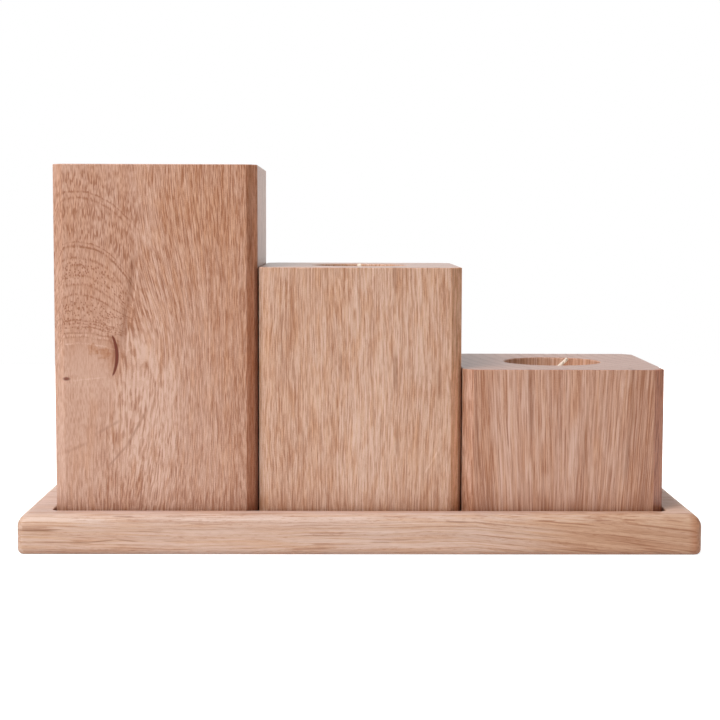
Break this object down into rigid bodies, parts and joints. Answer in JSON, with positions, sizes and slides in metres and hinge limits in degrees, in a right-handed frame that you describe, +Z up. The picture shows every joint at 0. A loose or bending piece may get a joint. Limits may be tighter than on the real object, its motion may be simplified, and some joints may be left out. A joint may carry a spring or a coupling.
{
  "type": "candle holder",
  "caption": "Stepped row of square oak blocks with a tealight in each bored top, standing loose in a shallow routed oak tray.",
  "frame": {"origin": "middle of the tray's underside", "axes": "+X along the row from the tall block to the short one, -Y towards the front, +Z up"},
  "size_m": [0.268, 0.1, 0.1523],
  "materials": {
    "tray_oak": "fine sanded and oiled, matt",
    "tall_oak": "fine sanded and oiled, matt",
    "mid_oak": "fine sanded and oiled, matt",
    "short_oak": "fine sanded and oiled, matt",
    "cup_aluminium": "bright drawn sheet",
    "candle_wax": "poured paraffin wax",
    "wick_cotton": "waxed braided cotton",
    "sustainer_tin": "tinned sheet"
  },
  "bodies": {
    "tray": {"tray": "tray_oak"},
    "tall_block": {"tall_block": "tall_oak"},
    "tall_tealight": {"tall_tealight_cup": "cup_aluminium", "tall_tealight_wax": "candle_wax", "tall_tealight_wick": "wick_cotton", "tall_wick_sustainer": "sustainer_tin"},
    "mid_block": {"mid_block": "mid_oak"},
    "mid_tealight": {"mid_tealight_cup": "cup_aluminium", "mid_tealight_wax": "candle_wax", "mid_tealight_wick": "wick_cotton", "mid_wick_sustainer": "sustainer_tin"},
    "short_block": {"short_block": "short_oak"},
    "short_tealight": {"short_tealight_cup": "cup_aluminium", "short_tealight_wax": "candle_wax", "short_tealight_wick": "wick_cotton", "short_wick_sustainer": "sustainer_tin"}
  },
  "joints": [
    {"name": "tall_block_lift", "type": "slide", "parent": "tray", "child": "tall_block", "axis": [0, 0, 1], "range_m": [0, 0.06]},
    {"name": "tall_tealight_lift", "type": "slide", "parent": "tall_block", "child": "tall_tealight", "axis": [0, 0, 1], "range_m": [0, 0.04]},
    {"name": "mid_block_lift", "type": "slide", "parent": "tray", "child": "mid_block", "axis": [0, 0, 1], "range_m": [0, 0.06]},
    {"name": "mid_tealight_lift", "type": "slide", "parent": "mid_block", "child": "mid_tealight", "axis": [0, 0, 1], "range_m": [0, 0.04]},
    {"name": "short_block_lift", "type": "slide", "parent": "tray", "child": "short_block", "axis": [0, 0, 1], "range_m": [0, 0.06]},
    {"name": "short_tealight_lift", "type": "slide", "parent": "short_block", "child": "short_tealight", "axis": [0, 0, 1], "range_m": [0, 0.04]}
  ]
}
